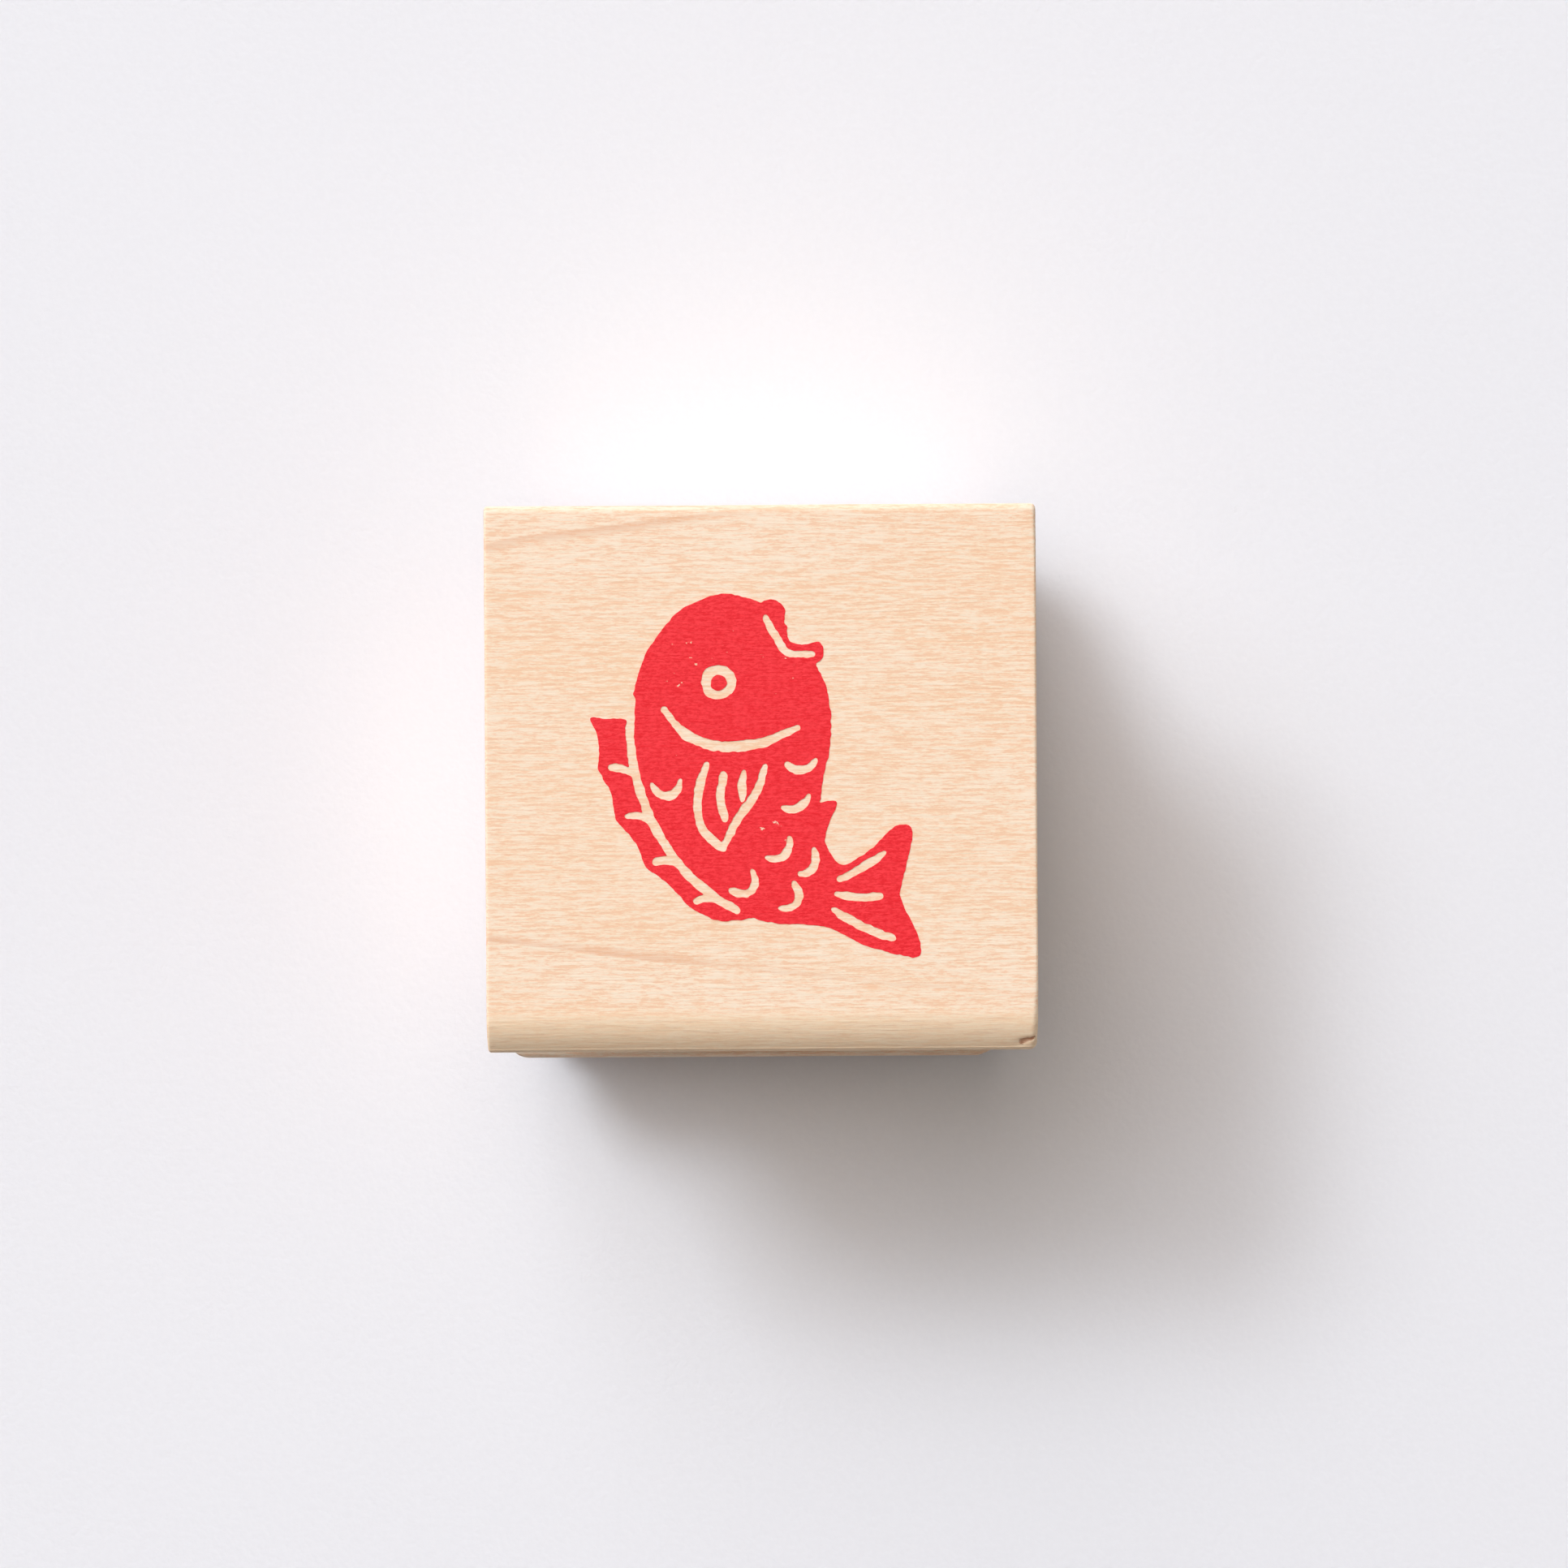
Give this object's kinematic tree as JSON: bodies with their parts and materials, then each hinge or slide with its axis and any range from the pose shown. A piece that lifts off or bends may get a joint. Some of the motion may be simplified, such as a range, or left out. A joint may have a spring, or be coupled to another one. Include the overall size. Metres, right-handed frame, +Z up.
{
  "type": "rubber stamp",
  "caption": "Wood-mounted rubber stamp: a maple moulding with finger grooves, a foam cushion, and an engraved rubber die that prints a leaping fish, shown in red on top.",
  "frame": {"origin": "on the plane of the die's printing face, under the middle of the wooden block", "axes": "+Z up from the printing face to the top of the block, +X along the moulding and its grain, -Y the front"},
  "size_m": [0.035, 0.0382, 0.0247],
  "materials": {
    "maple": "matte",
    "ink": "satin",
    "foam": "matte",
    "adhesive": "satin",
    "rubber": "matte"
  },
  "bodies": {
    "die": {"rubber_die": "rubber", "die_adhesive_film": "adhesive", "cushion_foam": "foam"},
    "mount": {"handle_block": "maple", "mount_adhesive_film": "adhesive", "index_print_fish": "ink", "index_print_pupil": "ink"}
  },
  "joints": [
    {"name": "cushion_press", "type": "slide", "parent": "die", "child": "mount", "axis": [0, 0, -1], "range_m": [0, 0.0008], "stiffness_N_per_m": 60000, "deforming": ["cushion_foam"]}
  ]
}
